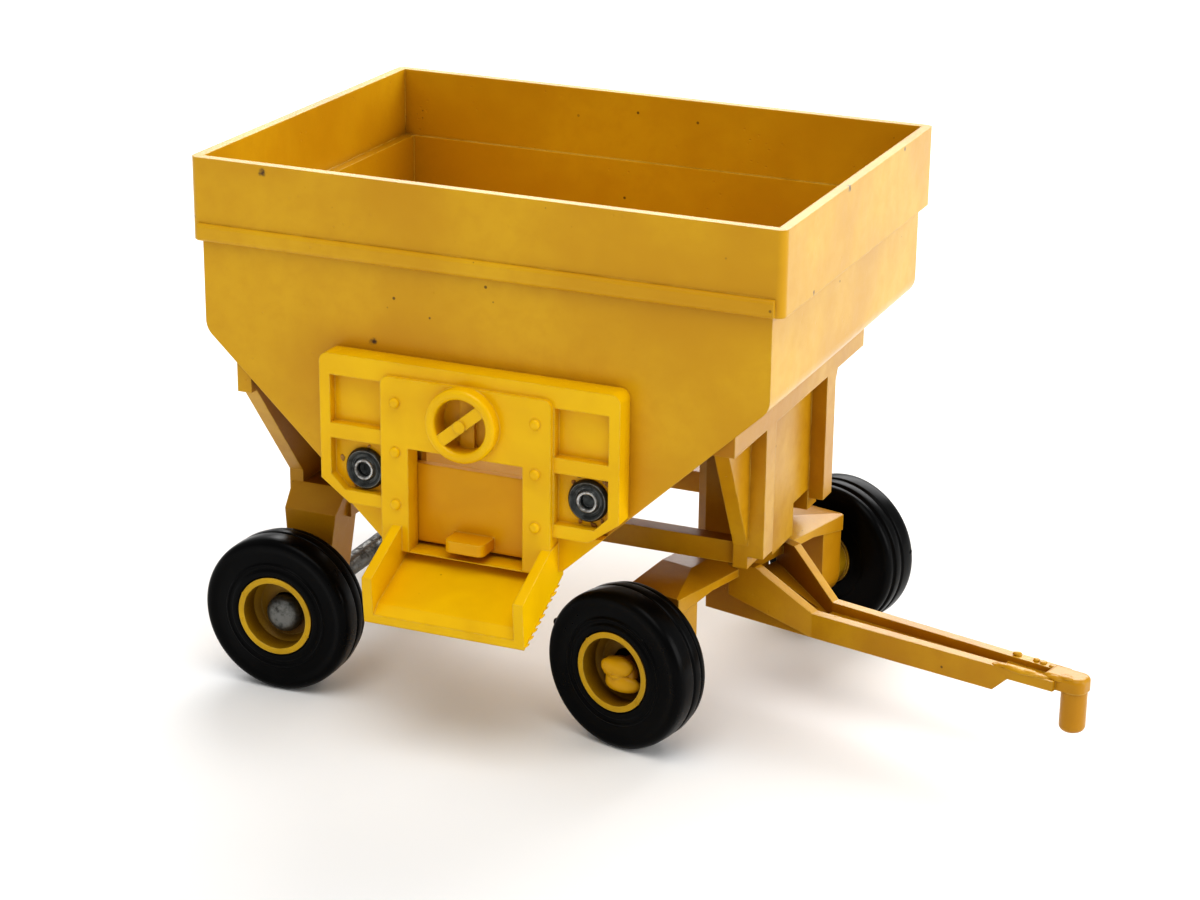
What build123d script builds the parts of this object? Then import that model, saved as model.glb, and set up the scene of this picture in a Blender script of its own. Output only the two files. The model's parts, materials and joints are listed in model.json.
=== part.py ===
from build123d import *
import os
from math import atan2, cos, degrees, radians

# Toy gravity wagon at 1:64, millimetres.
# While it is built: x forward (towards the hitch), y to the left, z up from the ground, x = 0 and
# y = 0 at the middle of the hopper. The discharge door is on the right side (minus y).

# ---- hopper casting ----
rim_length = 60.0
rim_width = 44.0
rim_top = 53.9
band_height = 8.1
wall = 1.0
corner_radius = 0.8
end_inset = 1.1
side_inset = 0.2
bead_height = 1.75
bead_depth = 0.5
bead_round = 0.4
slope_top = 37.0
slope_round = 2.0
throat_half = 9.3
throat_z = 18.6
ramp_far_z = 31.5

# ---- discharge opening, door moulding ----
opening_half = 5.9
opening_top = 29.05
door_half = 15.4
door_top = 37.2
door_thickness = 2.4
door_corner = 0.9
wing_bottom = 22.4
wing_chamfer_x = 3.0
wing_chamfer_z = 2.2
recess_depth = 1.0
recess_inner = 8.9
recess_outer = 14.3
upper_recess = (30.3, 35.1)
lower_recess = (23.7, 28.8)
recess_chamfer = 1.4
panel_half = 8.75
panel_rise = 0.5
panel_top = 35.9
boss_x = 7.2
boss_heights = (23.3, 28.55, 33.45)
boss_radius = 0.52
boss_rise = 0.4
boss_round = 0.28

# ---- moulded handwheel on the door ----
handwheel_z = 32.45
handwheel_outer = 3.6
handwheel_inner = 2.6
handwheel_rise = 1.3
handwheel_round = 0.4
handwheel_hub = 0.62
spoke_width = 1.2
spoke_height = 0.8
spoke_lift = 0.65
spoke_angle = 40.0
rack_width = 1.5
rack_rise = 0.45
well_depth = 1.0

# ---- chute, part of the door moulding ----
chute_half = 8.25
chute_shift = 0.6
cheek = 1.0
chute_reach = 6.35
chute_top_back = 21.2
chute_top_drop = 0.5
chute_top_front = 18.1
lip_z = 13.5
lip_back = 0.4
chute_floor = 0.9
lip_band = 0.8
lip_band_drop = 0.85
floor_back_z = 18.7

# ---- discharge gate ----
gate_thickness = 0.7
gate_slack = 0.1
gate_half = 6.5
gate_bottom = 19.1
gate_height = 7.9
gate_travel = 7.4
slot_spare = 0.3
tab_half = 2.05
tab_reach = 2.6
tab_thickness = 1.15
tab_round = 0.7
tab_z = 19.5

# ---- undercarriage casting ----
front_panel_x = 21.5
front_flange_x = 24.6
front_flange_half = 18.8
front_flange_z = 30.8
front_panel_top_half = 16.5
front_panel_low_half = 10.1
front_panel_low_z = 18.7
rear_panel_x = 24.2
rear_flange_x = 25.7
rear_flange_half = 21.7
rear_flange_z = 31.0
rear_panel_top_half = 20.7
rear_panel_low_half = 12.0
rear_panel_low_z = 19.8
panel_thickness = 1.5
rib_inner = 7.5
rib_width = 2.6
rib_low_z = 17.6
rail_outer = 9.2
rail_width = 1.8
rail_height = 2.25
post_x = 14.7
post_half = 3.0
post_chamfer = 1.2
rear_post_x = 17.5
leg_outer = 14.0
leg_inner = 9.3
leg_top_half = 3.1
leg_foot_front = 1.2
leg_foot_rear = 2.2
leg_bottom = 5.4
leg_shoulder_z = 16.3
leg_shoulder = 2.0
cross_z = 15.3
axle_boss = 1.2
axle_boss_radius = 1.8

# ---- wheels ----
tyre_radius = 8.0
tyre_width = 5.0
tyre_shoulder = 0.9
tyre_facet = 0.27
tread_groove = 0.22
tread_groove_width = 0.45
tread_groove_inset = 1.15
hub_radius = 4.04
hub_lip = 0.6
dish_depth = 2.6
dish_floor_radius = 2.9
hub_tube = 2.9
hub_boss = 2.6
hub_boss_length = 1.3
hub_fit = 0.05

# ---- axles ----
rear_axle_x = -22.3
rear_track_half = 21.9
axle_radius = 1.1
axle_fit = 0.05
axle_sag = 0.45
head_radius = 1.87
head_height = 1.25
head_round = 0.9
end_play = 0.15

# ---- front truck casting, in its own frame with the king pin at x = y = 0 ----
truck_x = 18.5
steer_at_rest = -14.0
front_track_half = 21.2
beam_half_x = 3.0
beam_thickness = 1.8
beam_flat_half = 9.0
beam_top = 15.0
beam_end_drop = 0.9
beam_front_slope = 2.5
beam_front_drop = 1.0
truck_gap = 0.2
knuckle_outer = 14.6
knuckle_width = 3.4
knuckle_radius = 2.8
stub_play = 0.55
peen_radius = 1.75
peen_height = 0.85
peen_round = 0.6
peen_drop = 0.25

# ---- tongue, part of the front truck casting ----
tongue_half = 2.4
tongue_wall = 1.1
tongue_back = 2.3
fork_half = 4.8
fork_x = 2.0
fork_low = 11.2
fork_top = 14.5
fork_flat = 2.6
throat_x = 10.4
tongue_floor_z = 8.0
tongue_floor = 0.9
channel_floor = 1.5
tongue_top = 10.5
tongue_step_x = 30.6
tongue_step = 1.5
nose_skin = 0.4
tongue_end = 36.9
pin_x = 38.25
pin_radius = 1.27
nose_width = 1.35
nose_reach = 1.34
nose_corner = 1.0
nose_round = 0.5
pin_bottom = 5.3
pin_top = 10.9
pin_round = 0.6
nose_half = 1.9

# ---- rivets ----
door_rivets = ((-11.05, 25.9), (12.05, 26.3))
door_rivet_head = 2.08
door_rivet_head_height = 0.75
door_rivet_round = 0.5
rivet_shank = 0.95
rivet_fit = 0.05
door_rivet_tail = 1.5
door_rivet_tail_height = 0.6
rivet_ring = 0.95
rivet_ring_tube = 0.2
rivet_hole = 0.75
rivet_hole_depth = 1.0
king_pin_radius = 1.25
king_pin_fit = 0.08
king_pin_depth = 5.0
king_pin_head = 1.75
king_pin_head_height = 0.8
king_pin_round = 0.5
body_rivet_x = 19.2
body_rivet_head = 1.6
body_rivet_head_height = 0.7
body_rivet_round = 0.5
body_rivet_depth = 3.4

# ---- places worked out from the sizes ----
lower_half = rim_length / 2 - end_inset
side_y = rim_width / 2 - side_inset
band_z = rim_top - band_height
slope_rise = (slope_top - throat_z) / (lower_half - throat_half)
slope_angle = degrees(atan2(slope_top - throat_z, lower_half - throat_half))
door_front = -(side_y + door_thickness)
panel_front = door_front - panel_rise
gate_back = -(side_y + gate_slack)
gate_front = gate_back - gate_thickness
slot_front = gate_front - gate_slack
slot_top = gate_bottom + gate_height + gate_travel + slot_spare
chute_front = panel_front - chute_reach
wheel_z = tyre_radius
axle_z = wheel_z - axle_sag
post_z = beam_top + truck_gap
hub_inner = tyre_width + hub_boss_length
seat_z = tongue_floor_z + king_pin_head_height + truck_gap
rail_z = throat_z - rail_height
dish_play = dish_depth - end_play


def block(x0, x1, y0, y1, z0, z1):
    """Solid box between two corners."""
    size = Box(x1 - x0, y1 - y0, z1 - z0, align=(Align.MIN, Align.MIN, Align.MIN))
    return Pos(x0, y0, z0) * size


def prism_xz(points, y0, y1):
    """Outline in the x-z plane, extruded from y0 to y1."""
    outline = Polyline(*[(x, y0, z) for x, z in points], close=True)
    return extrude(make_face(outline), amount=y1 - y0, dir=(0, 1, 0))


def prism_yz(points, x0, x1):
    """Outline in the y-z plane, extruded from x0 to x1."""
    outline = Polyline(*[(x0, y, z) for y, z in points], close=True)
    return extrude(make_face(outline), amount=x1 - x0, dir=(1, 0, 0))


def prism_xy(points, z0, z1):
    """Outline in the x-y plane, extruded from z0 to z1."""
    outline = Polyline(*[(x, y, z0) for x, y in points], close=True)
    return extrude(make_face(outline), amount=z1 - z0, dir=(0, 0, 1))


def rod_y(radius, y0, y1, x=0, z=0):
    """Cylinder along y."""
    rod = Cylinder(radius, y1 - y0, align=(Align.CENTER, Align.CENTER, Align.MIN))
    return Pos(x, y0, z) * Rot(-90, 0, 0) * rod


def rod_z(radius, z0, z1, x=0, y=0):
    """Cylinder along z."""
    rod = Cylinder(radius, z1 - z0, align=(Align.CENTER, Align.CENTER, Align.MIN))
    return Pos(x, y, z0) * rod


def mirrored_pairs(points):
    """Right half of an outline, from top to bottom, closed by its mirror image."""
    return list(points) + [(-a, b) for a, b in reversed(points)]


def slope_z(x, offset=0):
    """Height of the hopper's sloped end at x, or of a face offset upwards from it."""
    return throat_z + (abs(x) - throat_half) * slope_rise + offset / cos(radians(slope_angle))


# ---- hopper ----

def trough_outline(offset):
    """V-shaped outline of the hopper below its rim band, moved inwards by offset."""
    end = lower_half - offset
    floor_half = throat_half - offset
    return mirrored_pairs([
        (end, band_z),
        (end, slope_z(end, offset)),
        (floor_half, slope_z(floor_half, offset)),
    ])


def ramp_cut(lift):
    """Everything below the floor that runs down from the far wall to the door."""
    far_z = ramp_far_z + lift
    near_z = throat_z + lift
    points = [(side_y, far_z), (side_y, 0), (-side_y, 0), (-side_y, near_z)]
    return prism_yz(points, -rim_length, rim_length)


def hopper_envelope():
    """Outer shape of the hopper below the band, with the ramp's underside cut away."""
    trough = prism_xz(trough_outline(0), -side_y, side_y)
    bends = [e for e in trough.edges().filter_by(Axis.Y) if abs(e.center().Z - slope_top) < wall]
    return fillet(bends, slope_round) - ramp_cut(0)


def hopper_cavity():
    """Inside of the hopper: the band's box and the V below it, above the ramp."""
    inner_x = rim_length / 2 - wall
    inner_y = rim_width / 2 - wall
    band_floor = band_z + wall
    top = block(-inner_x, inner_x, -inner_y, inner_y, band_floor, rim_top + wall)
    trough_y = side_y - wall
    trough = prism_xz(trough_outline(wall), -trough_y, trough_y)
    joint = block(-lower_half + wall, lower_half - wall, -trough_y, trough_y, band_z, band_floor)
    return top + joint + (trough - ramp_cut(wall))


def build_hopper():
    band = block(-rim_length / 2, rim_length / 2, -rim_width / 2, rim_width / 2, band_z, rim_top)
    band = fillet(band.edges().filter_by(Axis.Z), corner_radius)
    bead_y = rim_width / 2 + bead_depth
    bead_x = rim_length / 2 - corner_radius
    body = band + hopper_envelope() - hopper_cavity()
    for side in (-1, 1):
        y0, y1 = sorted((side * (side_y - wall / 2), side * bead_y))
        bead = block(-bead_x, bead_x, y0, y1, band_z, band_z + bead_height)
        long_edges = bead.edges().filter_by(Axis.X).filter_by(lambda e: abs(e.center().Y) > rim_width / 2)
        body += fillet(long_edges, bead_round)
    opening = block(-opening_half, opening_half, -rim_width, -side_y + wall * 2, throat_z, opening_top)
    body -= opening - ramp_cut(wall)
    for x, z in door_rivets:
        body -= rod_y(rivet_shank + rivet_fit, -rim_width, -side_y + wall * 2, x, z)
    for side in (-1, 1):
        body -= body_rivet_hole(side)
    return body


# ---- rivets ----

def body_rivet_frame(side):
    """Place on the inner face of a sloped end, with local z pointing into the hopper."""
    x = side * body_rivet_x
    return Pos(x, 0, slope_z(x, wall)) * Rot(0, -side * slope_angle, 0)


def body_rivet_hole(side):
    reach = body_rivet_depth + wall
    hole = Cylinder(rivet_shank + rivet_fit, reach + wall, align=(Align.CENTER, Align.CENTER, Align.MAX))
    return body_rivet_frame(side) * Pos(0, 0, wall) * hole


def build_body_rivet(side):
    shank = Cylinder(rivet_shank, body_rivet_depth, align=(Align.CENTER, Align.CENTER, Align.MAX))
    head = Cylinder(body_rivet_head, body_rivet_head_height, align=(Align.CENTER, Align.CENTER, Align.MIN))
    head = fillet(head.edges().group_by(Axis.Z)[-1], body_rivet_round)
    return body_rivet_frame(side) * (shank + head)


def build_door_rivet(x, z):
    """Semi-tubular rivet: dished flange, rolled ring round a blind hole, shank and clinched tail."""
    seat = door_front + recess_depth
    head = Cylinder(door_rivet_head, door_rivet_head_height, align=(Align.CENTER, Align.CENTER, Align.MIN))
    head = fillet(head.edges().group_by(Axis.Z)[-1], door_rivet_round)
    tail_depth = abs(seat) - side_y + wall
    shank = Cylinder(rivet_shank, tail_depth, align=(Align.CENTER, Align.CENTER, Align.MAX))
    tail = Pos(0, 0, -tail_depth) * Cylinder(
        door_rivet_tail, door_rivet_tail_height, align=(Align.CENTER, Align.CENTER, Align.MAX))
    ring = Pos(0, 0, door_rivet_head_height) * Torus(rivet_ring, rivet_ring_tube)
    hole = Pos(0, 0, door_rivet_head_height + rivet_ring_tube) * Cylinder(
        rivet_hole, rivet_hole_depth, align=(Align.CENTER, Align.CENTER, Align.MAX))
    return Pos(x, seat, z) * Rot(90, 0, 0) * (head + shank + tail + ring - hole)


def build_king_pin():
    """Rivet that hangs the truck under the post and lets it swing; its head is sunk in the truck."""
    shank = rod_z(king_pin_radius, seat_z - truck_gap / 2, post_z + king_pin_depth, truck_x)
    head = rod_z(king_pin_head, tongue_floor_z, seat_z - truck_gap / 2, truck_x)
    head = fillet(head.edges().group_by(Axis.Z)[0], king_pin_round)
    return shank + head


# ---- door moulding ----

def wing_outline():
    return mirrored_pairs([
        (door_half, door_top),
        (door_half, wing_bottom + wing_chamfer_z),
        (door_half - wing_chamfer_x, wing_bottom),
    ])


def recess(side, heights, chamfered):
    inner = side * recess_inner
    outer = side * recess_outer
    low, high = heights
    corner = [(outer, low + recess_chamfer), (outer - side * recess_chamfer, low)]
    points = [(inner, low), (inner, high), (outer, high)] + (corner if chamfered else [(outer, low)])
    return prism_xz(points, door_front - recess_depth, door_front + recess_depth)


def door_plate():
    back = -side_y
    plate = prism_xz(wing_outline(), door_front, back)
    tops = [e for e in plate.edges().filter_by(Axis.Y) if e.center().Z > door_top - door_corner]
    plate = fillet(tops, door_corner)
    for side in (-1, 1):
        plate -= recess(side, upper_recess, False) + recess(side, lower_recess, True)
    skirt = prism_xz(mirrored_pairs([
        (throat_half + (wing_bottom - throat_z) / slope_rise, wing_bottom),
        (throat_half, throat_z),
    ]), -side_y - door_thickness / 2, back)
    return plate + skirt


def centre_panel():
    """Raised frame in the middle, which carries the handwheel and the rivet-head bosses."""
    panel = block(-panel_half, panel_half, panel_front, -side_y, throat_z, panel_top)
    tops = [e for e in panel.edges().filter_by(Axis.Y) if e.center().Z > panel_top - corner_radius]
    panel = fillet(tops, corner_radius)
    for side in (-1, 1):
        for z in boss_heights:
            boss = rod_y(boss_radius, panel_front - boss_rise, panel_front, side * boss_x, z)
            panel += fillet(boss.edges().group_by(Axis.Y)[0], boss_round)
    return panel


def handwheel():
    """Rim, hub and one slanting spoke, moulded in one with the panel."""
    front = panel_front - handwheel_rise
    rim = rod_y(handwheel_outer, front, panel_front, 0, handwheel_z)
    rim -= rod_y(handwheel_inner, front, panel_front, 0, handwheel_z)
    rim = fillet(rim.edges().group_by(Axis.Y)[0], handwheel_round)
    reach = (handwheel_outer + handwheel_inner) / 2
    spoke = Box(2 * reach, spoke_height, spoke_width)
    spoke = Pos(0, panel_front - spoke_lift, handwheel_z) * Rot(0, -spoke_angle, 0) * spoke
    hub = rod_y(handwheel_hub, front, panel_front, 0, handwheel_z)
    return rim + spoke + hub


def handwheel_well():
    """Round pocket behind the handwheel, with the rack's bar standing in it."""
    floor = panel_front + well_depth
    well = rod_y(handwheel_inner, panel_front, floor, 0, handwheel_z)
    return well - block(-rack_width / 2, rack_width / 2, floor - rack_rise, floor, throat_z, door_top)


def chute():
    """Two cheeks and a sloping floor below the opening, open at the front."""
    lip_y = chute_front + lip_back
    side_outline = [
        (-side_y, chute_top_back + chute_top_drop),
        (panel_front, chute_top_back),
        (chute_front, chute_top_front),
        (chute_front, chute_top_front - cheek),
        (lip_y, lip_z),
        (-side_y, floor_back_z - chute_floor),
    ]
    low, high = chute_shift - chute_half, chute_shift + chute_half
    body = prism_yz(side_outline, low, high)
    lip_top = lip_z + chute_floor
    inside = [
        (-side_y, floor_back_z),
        (lip_y + lip_band, lip_top + lip_band_drop),
        (lip_y, lip_top),
        (chute_front - cheek, lip_top),
        (chute_front - cheek, door_top),
        (-side_y, door_top),
    ]
    return body - prism_yz(inside, low + cheek, high - cheek)


def build_door():
    slot_half = gate_half + gate_slack
    slot = block(-slot_half, slot_half, slot_front, -side_y, floor_back_z, slot_top)
    opening = block(-opening_half, opening_half, panel_front, -side_y, floor_back_z, opening_top)
    frame = door_plate() + centre_panel() + handwheel() - handwheel_well()
    frame = frame - opening
    door = (frame + chute()) - slot
    for x, z in door_rivets:
        door -= rod_y(rivet_shank + rivet_fit, panel_front, -side_y, x, z)
    return door


def build_gate():
    """Thin sliding plate with a finger tab."""
    plate = block(-gate_half, gate_half, gate_front, gate_back, gate_bottom, gate_bottom + gate_height)
    tab = block(-tab_half, tab_half, gate_front - tab_reach, gate_front, tab_z, tab_z + tab_thickness)
    tab = fillet(tab.edges().filter_by(Axis.Z).group_by(Axis.Y)[0], tab_round)
    return plate + tab


# ---- undercarriage ----

def bulkhead(side, panel_x, flange, top_half, low_half, low_z):
    """Cross panel under one sloped end, narrower towards the bottom, with a flange at its top."""
    flange_x, flange_half, flange_z = flange
    p0, p1 = sorted((side * panel_x, side * (panel_x + panel_thickness)))
    panel = prism_yz(mirrored_pairs([
        (top_half, slope_top),
        (top_half, flange_z),
        (low_half, low_z),
        (low_half, rail_z),
    ]), p0, p1)
    f0, f1 = sorted((side * panel_x, side * flange_x))
    return panel + block(f0, f1, -flange_half, flange_half, flange_z, slope_top)


def front_bulkhead():
    """Front panel with its two upright ribs; between the ribs it stops at the rails' top."""
    flange = (front_flange_x, front_flange_half, front_flange_z)
    panel = bulkhead(1, front_panel_x, flange, front_panel_top_half, front_panel_low_half,
                     front_panel_low_z)
    panel -= block(front_panel_x, front_flange_x, -rib_inner, rib_inner, rail_z, throat_z)
    for way in (-1, 1):
        y0, y1 = sorted((way * rib_inner, way * (rib_inner + rib_width)))
        panel += block(front_panel_x, front_flange_x, y0, y1, rib_low_z, slope_top)
    return panel


def rear_bulkhead():
    flange = (rear_flange_x, rear_flange_half, rear_flange_z)
    return bulkhead(-1, rear_panel_x, flange, rear_panel_top_half, rear_panel_low_half,
                    rear_panel_low_z)


def post():
    """Post over the king pin, with its two rear corners cut off."""
    front = front_panel_x + panel_thickness
    body = block(post_x, front, -post_half, post_half, post_z, slope_top)
    corners = body.edges().filter_by(Axis.Z).group_by(Axis.X)[0]
    return chamfer(corners, post_chamfer)


def rear_post():
    """Short post behind, which the rear body rivet goes into."""
    return block(-rear_panel_x, -rear_post_x, -post_half, post_half, cross_z, slope_top)


def axle_leg(side):
    """One of the two legs that carry the rear axle, with the boss the wheel runs against."""
    profile = [
        (rear_axle_x - leg_top_half, throat_z),
        (rear_axle_x + leg_top_half, throat_z),
        (rear_axle_x + leg_foot_front, leg_bottom),
        (rear_axle_x - leg_foot_rear, leg_bottom),
    ]
    shape = [
        (leg_inner, leg_bottom),
        (leg_outer, leg_bottom),
        (leg_outer, leg_shoulder_z),
        (leg_outer - leg_shoulder, throat_z),
        (leg_inner, throat_z),
    ]
    leg = prism_xz(profile, -leg_outer, leg_outer) & prism_yz(
        [(side * y, z) for y, z in shape], -rim_length, rim_length)
    y0, y1 = sorted((side * leg_inner, side * (leg_outer + axle_boss)))
    return leg + rod_y(axle_boss_radius, y0, y1, rear_axle_x, axle_z)


def cross_beam():
    """Beam that joins the two legs and closes the rear bulkhead's foot."""
    return block(-rear_panel_x - panel_thickness, rear_axle_x + leg_top_half,
                 -leg_inner - leg_shoulder, leg_inner + leg_shoulder, cross_z, throat_z)


def rail(side):
    """One of the two rails along the hopper's bottom, from the front bulkhead to the rear one."""
    y0, y1 = sorted((side * rail_outer, side * (rail_outer - rail_width)))
    return block(-rear_panel_x, front_panel_x + panel_thickness, y0, y1, rail_z, throat_z)


def hopper_space():
    """Room for the hopper over the undercarriage."""
    trough = prism_xz(mirrored_pairs([
        (rim_length, rim_top),
        (rim_length, slope_z(rim_length)),
        (throat_half, throat_z),
    ]), -rim_width, rim_width)
    return trough - ramp_cut(0)


def build_chassis():
    frame = front_bulkhead() + rear_bulkhead() + post() + rear_post() + cross_beam()
    for side in (-1, 1):
        frame += rail(side) + axle_leg(side)
    frame -= hopper_space()
    for side in (-1, 1):
        frame -= body_rivet_hole(side)
    frame -= rod_z(king_pin_radius + rivet_fit, 0, post_z + king_pin_depth + rivet_fit, truck_x)
    frame -= rod_y(axle_radius + rivet_fit, -rim_width, rim_width, rear_axle_x, axle_z)
    return frame


# ---- wheels ----

def build_tyre():
    """Right-hand tyre on the y axis, outer face at y = 0, inner face at y = tyre_width."""
    flat = tyre_radius - tyre_shoulder
    bore = hub_radius + hub_fit
    tube = hub_tube + hub_fit
    groove_a = tyre_width - tread_groove_inset - tread_groove_width
    groove_b = tyre_width - tread_groove_inset
    profile = Polyline(
        (bore, 0), (flat, 0), (tyre_radius - tyre_facet, tyre_facet),
        (tyre_radius, tyre_shoulder), (tyre_radius, groove_a),
        (tyre_radius - tread_groove, groove_a), (tyre_radius - tread_groove, groove_b),
        (tyre_radius, groove_b), (tyre_radius, tyre_width - tyre_shoulder),
        (tyre_radius - tyre_facet, tyre_width - tyre_facet),
        (flat, tyre_width), (tube, tyre_width), (tube, dish_depth + hub_lip), (bore, dish_depth), (bore, 0))
    return revolve(make_face(profile), Axis.Y)


def build_hub():
    """Hub insert on the y axis: lip, dish, tube through the tyre and inner boss."""
    return revolve(make_face(hub_profile(axle_radius + axle_sag + axle_fit)), Axis.Y)


def hub_profile(bore):
    return Polyline(
        (hub_radius - hub_lip, 0), (hub_radius, 0), (hub_radius, dish_depth),
        (hub_tube, dish_depth + hub_lip),
        (hub_tube, tyre_width), (hub_boss, tyre_width), (hub_boss, hub_inner), (bore, hub_inner),
        (bore, dish_depth), (dish_floor_radius, dish_depth), (hub_radius - hub_lip, dish_depth - hub_lip),
        (hub_radius - hub_lip, 0))


def domed_head(radius, height, edge_round):
    """Formed head on +z, flat side at z = 0."""
    head = Cylinder(radius, height, align=(Align.CENTER, Align.CENTER, Align.MIN))
    return fillet(head.edges().group_by(Axis.Z)[-1], edge_round)


def build_rear_axle():
    inner = rear_track_half - dish_play
    axle = rod_y(axle_radius, -inner, inner)
    head = Pos(0, inner, 0) * Rot(-90, 0, 0) * domed_head(head_radius, head_height, head_round)
    axle += head + mirror(head, about=Plane.XZ)
    return Pos(rear_axle_x, 0, axle_z) * axle


# ---- front truck ----

def beam():
    """Cross plate over the axle line; its ends drop towards the knuckles."""
    low_top = beam_top - beam_end_drop
    outline = mirrored_pairs([
        (beam_flat_half, beam_top),
        (knuckle_outer, low_top),
        (knuckle_outer, low_top - beam_thickness),
        (beam_flat_half, beam_top - beam_thickness),
    ])
    front_slope = prism_xz([
        (beam_half_x - beam_front_slope, beam_top),
        (beam_half_x, beam_top),
        (beam_half_x, beam_top - beam_front_drop),
    ], -rim_width, rim_width)
    return prism_yz(outline, -beam_half_x, beam_half_x) - front_slope


def knuckle(side):
    """Leg at the end of the beam with the stub axle, which is peened over outside the hub."""
    inner = knuckle_outer - knuckle_width
    top = beam_top - beam_end_drop - beam_thickness / 2
    leg = block(-knuckle_radius, knuckle_radius, inner, knuckle_outer, axle_z, top)
    leg += rod_y(knuckle_radius, inner, knuckle_outer, 0, axle_z)
    stub_end = front_track_half - dish_depth + stub_play
    leg += rod_y(axle_radius, inner, stub_end, 0, axle_z)
    peen = domed_head(peen_radius, peen_height, peen_round)
    leg += Pos(0, stub_end, axle_z - peen_drop) * Rot(-90, 0, 0) * peen
    return leg if side > 0 else mirror(leg, about=Plane.XZ)


def mirrored_sides(points):
    """Left half of a plan, from front to back, closed by its mirror image."""
    return list(points) + [(a, -b) for a, b in reversed(points)]


def bar_plan(grow):
    """Plan of the tongue's straight bar; grow moves its sides outwards."""
    return mirrored_sides([
        (tongue_end, nose_half + grow),
        (throat_x, tongue_half + grow),
        (-tongue_back, tongue_half + grow),
    ])


def fork_plan(grow):
    """Plan of the fork that spreads from the bar to the beam."""
    return mirrored_sides([
        (throat_x, tongue_half + grow),
        (fork_x, fork_half + grow),
    ])


def bar_side():
    """Side view of the bar, from under the beam to the thin nose."""
    return [
        (-tongue_back, beam_top - beam_thickness),
        (beam_half_x, beam_top - beam_thickness),
        (throat_x, tongue_top),
        (tongue_end, tongue_top),
        (tongue_end, tongue_floor_z + tongue_step),
        (tongue_step_x + tongue_step, tongue_floor_z + tongue_step),
        (tongue_step_x, tongue_floor_z),
        (-tongue_back, tongue_floor_z),
    ]


def fork_side(lift):
    """Side view of the fork, with its lower edge lifted by lift."""
    return [
        (fork_x, fork_top + lift),
        (fork_x + fork_flat, fork_top + lift),
        (throat_x, tongue_top + lift),
        (throat_x, tongue_floor_z + lift),
        (fork_x, fork_low + lift),
    ]


def tongue():
    """Open channel with a fork behind and a hitch pin at its nose."""
    body = prism_xy(bar_plan(0), 0, rim_top) & prism_xz(bar_side(), -rim_width, rim_width)
    body += prism_xy(fork_plan(0), 0, rim_top) & prism_xz(fork_side(0), -rim_width, rim_width)
    hollow = prism_xy(bar_plan(-tongue_wall), tongue_floor_z + channel_floor, rim_top)
    hollow -= block(-rim_length, tongue_back, -tongue_half, tongue_half, 0, rim_top)
    nose_floor = tongue_floor_z + tongue_step + nose_skin
    hollow -= block(tongue_step_x, pin_x, -tongue_half, tongue_half, 0, nose_floor)
    fork_hollow = prism_xy(fork_plan(-tongue_wall), 0, rim_top)
    body -= hollow
    body -= fork_hollow & prism_xz(fork_side(tongue_floor), -rim_width, rim_width)
    pin = rod_z(pin_radius, pin_bottom, tongue_top, pin_x)
    pin = fillet(pin.edges().group_by(Axis.Z)[0], pin_round)
    nose_low = tongue_floor_z + tongue_step
    nose = block(tongue_end - tongue_step, pin_x + nose_reach, -nose_width, nose_width,
                 nose_low, pin_top)
    nose = fillet(nose.edges().filter_by(Axis.Z).group_by(Axis.X)[-1], nose_corner)
    nose = fillet(nose.edges().group_by(Axis.Z)[-1], nose_round)
    return body + nose + pin


def build_truck():
    truck = beam() + knuckle(-1) + knuckle(1) + tongue()
    truck -= rod_z(king_pin_radius + king_pin_fit, 0, rim_top)
    truck -= rod_z(king_pin_head + king_pin_fit, 0, seat_z)
    return truck


def truck_place():
    return Pos(truck_x, 0, 0) * Rot(0, 0, steer_at_rest)


def wheel_pair(piece, track_half):
    """Right and left copies of a wheel piece, with the tyre standing on the ground."""
    right = Pos(0, -track_half, wheel_z) * piece
    return right, mirror(right, about=Plane.XZ)


def build_all():
    parts = {
        "hopper_body": build_hopper(),
        "chassis_frame": build_chassis(),
        "door_unit": build_door(),
        "discharge_gate": build_gate(),
        "rear_axle": build_rear_axle(),
        "king_pin_rivet": build_king_pin(),
        "front_truck": truck_place() * build_truck(),
    }
    for name, (x, z) in zip(("door_rivet_rear", "door_rivet_front"), door_rivets):
        parts[name] = build_door_rivet(x, z)
    for name, side in (("body_rivet_rear", -1), ("body_rivet_front", 1)):
        parts[name] = build_body_rivet(side)
    for kind, piece in (("tyre", build_tyre()), ("hub", build_hub())):
        rear = wheel_pair(piece, rear_track_half)
        front = wheel_pair(piece, front_track_half)
        for label, wheel in zip(("right", "left"), rear):
            parts[f"{kind}_rear_{label}"] = Pos(rear_axle_x, 0, 0) * wheel
        for label, wheel in zip(("right", "left"), front):
            parts[f"{kind}_front_{label}"] = truck_place() * wheel
    return parts


def write_all():
    """Move the origin to the bottom centre of the whole wagon and write one file per piece."""
    parts = build_all()
    box = Compound(children=[Compound(list(p.solids())) for p in parts.values()]).bounding_box()
    centre = box.center()
    shift = Pos(-centre.X, -centre.Y, 0)
    print("origin shift", round(-centre.X, 4), round(-centre.Y, 4), "bottom", round(box.min.Z, 4))
    print("size", round(box.size.X, 3), round(box.size.Y, 3), round(box.size.Z, 3))
    os.makedirs("parts", exist_ok=True)
    for name, piece in parts.items():
        export_step(shift * piece, f"parts/{name}.step")


write_all()
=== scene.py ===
import json
import random
from math import atan2, cos, pi, radians, sin

import bpy
from mathutils import Matrix, Vector


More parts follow.
